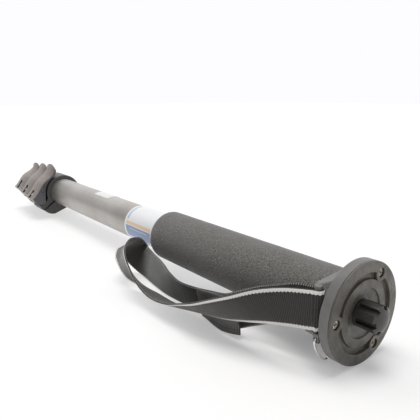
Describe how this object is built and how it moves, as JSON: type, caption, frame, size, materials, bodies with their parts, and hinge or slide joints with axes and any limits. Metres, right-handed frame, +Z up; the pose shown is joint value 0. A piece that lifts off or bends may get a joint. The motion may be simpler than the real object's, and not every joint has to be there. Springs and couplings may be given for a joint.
{
  "type": "camera monopod",
  "caption": "Collapsed telescoping camera monopod with a round camera plate, foam grip, flip-lever tube locks, webbing wrist strap and rubber foot.",
  "frame": {"origin": "centre of the face that the camera sits on, on the camera screw's axis", "axes": "+X out of the camera face along the camera screw, the pole runs to -X; +Z up with the pole lying on its side, wrist strap on the -Y side"},
  "size_m": [0.5233, 0.0864, 0.0604],
  "materials": {
    "disc_metal": "satin grey-black enamel",
    "face_metal": "satin black enamel",
    "screw_steel": "bright zinc",
    "black_nylon": "moulded black nylon",
    "foam": "closed-cell foam, fine grain",
    "print_film": "printed film",
    "sticker_film": "white film",
    "tube_metal": "satin grey anodised",
    "collar_plastic": "moulded, fine grain",
    "lever_plastic": "warm grey, satin",
    "liner_plastic": "natural",
    "webbing": "woven, with two white edge stripes",
    "wire_steel": "bright",
    "foot_rubber": "matt"
  },
  "bodies": {
    "upper": {"platform_base": "disc_metal", "platform_face": "face_metal", "face_screws": "screw_steel", "camera_stud": "screw_steel", "stud_pin": "screw_steel", "hub_screws": "screw_steel", "strap_pin": "screw_steel", "wrist_strap": "webbing", "strap_tail": "webbing", "foam_grip": "foam", "label_band": "print_film", "small_label": "sticker_film", "tube_1": "tube_metal", "lock_collar_1": "collar_plastic", "liner_1": "liner_plastic", "barrel_pin_1": "screw_steel", "clamp_bolt_1": "screw_steel"},
    "section_2": {"tube_2": "tube_metal", "top_bushing_2": "liner_plastic", "lock_collar_2": "collar_plastic", "liner_2": "liner_plastic", "barrel_pin_2": "screw_steel", "clamp_bolt_2": "screw_steel"},
    "section_3": {"tube_3": "tube_metal", "top_bushing_3": "liner_plastic", "lock_collar_3": "collar_plastic", "liner_3": "liner_plastic", "barrel_pin_3": "screw_steel", "clamp_bolt_3": "screw_steel"},
    "section_4": {"tube_4": "tube_metal", "top_bushing_4": "liner_plastic", "foot_ferrule": "black_nylon", "rubber_foot": "foot_rubber"},
    "flip_lever_1": {"lever_1": "lever_plastic"},
    "flip_lever_2": {"lever_2": "lever_plastic"},
    "flip_lever_3": {"lever_3": "lever_plastic"},
    "screw_cap": {"stud_cap": "black_nylon"},
    "ring": {"wire_ring": "wire_steel"}
  },
  "joints": [
    {"name": "section_2_slide", "type": "slide", "parent": "upper", "child": "section_2", "axis": [-1, 0, 0], "range_m": [0, 0.3234]},
    {"name": "section_3_slide", "type": "slide", "parent": "section_2", "child": "section_3", "axis": [-1, 0, 0], "range_m": [0, 0.3464]},
    {"name": "section_4_slide", "type": "slide", "parent": "section_3", "child": "section_4", "axis": [-1, 0, 0], "range_m": [0, 0.3694]},
    {"name": "lever_1_pivot", "type": "hinge", "parent": "upper", "child": "flip_lever_1", "pos_m": [-0.42265, -0.02797, -0.00502], "axis": [1, 0, 0], "range_deg": [0, 90]},
    {"name": "lever_2_pivot", "type": "hinge", "parent": "section_2", "child": "flip_lever_2", "pos_m": [-0.44965, -0.02603, -0.00345], "axis": [1, 0, 0], "range_deg": [0, 90]},
    {"name": "lever_3_pivot", "type": "hinge", "parent": "section_3", "child": "flip_lever_3", "pos_m": [-0.47665, -0.02409, -0.00188], "axis": [1, 0, 0], "range_deg": [0, 90]},
    {"name": "cap_pull", "type": "slide", "parent": "upper", "child": "screw_cap", "axis": [1, 0, 0], "range_m": [0, 0.02]},
    {"name": "ring_swing", "type": "hinge", "parent": "upper", "child": "ring", "pos_m": [-0.0096, -0.0262, -0.0098], "axis": [0, 1, 0], "range_deg": [-3, 45]}
  ]
}
